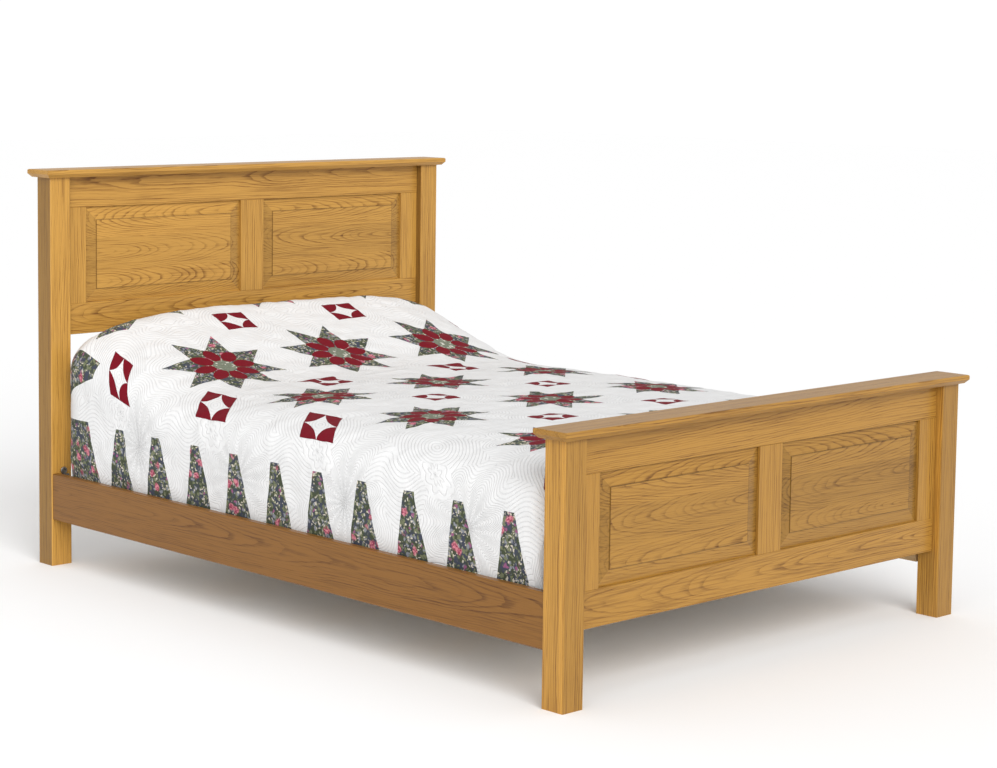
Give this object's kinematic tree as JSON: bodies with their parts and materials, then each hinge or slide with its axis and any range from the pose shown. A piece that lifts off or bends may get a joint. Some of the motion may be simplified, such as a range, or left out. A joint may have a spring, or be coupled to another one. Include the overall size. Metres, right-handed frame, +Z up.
{
  "type": "panel bed",
  "caption": "Wooden panel bed with raised-panel headboard and footboard, moulded caps, bracketed side rails, slats and a made-up mattress with pillows and a pieced quilt.",
  "frame": {"origin": "on the floor, under the middle of the bed", "axes": "+X to the right for someone who stands at the foot, +Y from foot to head, +Z up"},
  "size_m": [1.657, 2.303, 1.227],
  "materials": {
    "oak_posts": "satin",
    "oak_frames": "satin",
    "oak_panels": "satin",
    "oak_caps": "satin",
    "oak_side_rails": "satin",
    "plain_wood": "matte",
    "steel": "satin",
    "glides": "matte",
    "foundation_cloth": "matte",
    "mattress_ticking": "matte",
    "pillow_cotton": "matte",
    "quilt_cotton": "matte"
  },
  "bodies": {
    "bedstead": {"headboard_post_left": "oak_posts", "headboard_buttons_left": "steel", "headboard_button_screws_left": "steel", "headboard_panel_left": "oak_panels", "headboard_post_right": "oak_posts", "headboard_buttons_right": "steel", "headboard_button_screws_right": "steel", "headboard_panel_right": "oak_panels", "headboard_top_rail": "oak_frames", "headboard_bottom_rail": "oak_frames", "headboard_stile_left": "oak_frames", "headboard_stile_middle": "oak_frames", "headboard_stile_right": "oak_frames", "headboard_cap": "oak_caps", "headboard_cap_dowels": "plain_wood", "footboard_post_left": "oak_posts", "footboard_buttons_left": "steel", "footboard_button_screws_left": "steel", "footboard_panel_left": "oak_panels", "footboard_post_right": "oak_posts", "footboard_buttons_right": "steel", "footboard_button_screws_right": "steel", "footboard_panel_right": "oak_panels", "footboard_top_rail": "oak_frames", "footboard_bottom_rail": "oak_frames", "footboard_stile_left": "oak_frames", "footboard_stile_middle": "oak_frames", "footboard_stile_right": "oak_frames", "footboard_cap": "oak_caps", "footboard_cap_dowels": "plain_wood", "side_rail_left": "oak_side_rails", "cleat_left": "plain_wood", "rail_bracket_foot_left": "steel", "rail_bracket_head_left": "steel", "side_rail_right": "oak_side_rails", "cleat_right": "plain_wood", "rail_bracket_foot_right": "steel", "rail_bracket_head_right": "steel", "slat_1": "plain_wood", "slat_2": "plain_wood", "slat_3": "plain_wood", "slat_4": "plain_wood", "slat_5": "plain_wood", "middle_leg_1": "plain_wood", "middle_leg_2": "plain_wood", "middle_leg_3": "plain_wood", "middle_leg_glides": "glides", "bracket_screws": "steel", "cleat_screws": "steel", "slat_screws": "steel"},
    "bedding": {"box_spring": "foundation_cloth", "mattress": "mattress_ticking", "pillow_left": "pillow_cotton", "pillow_right": "pillow_cotton", "quilt": "quilt_cotton"}
  },
  "joints": [
    {"name": "bedding_lift", "type": "slide", "parent": "bedstead", "child": "bedding", "axis": [0, 0, 1], "range_m": [0, 1.05]}
  ]
}
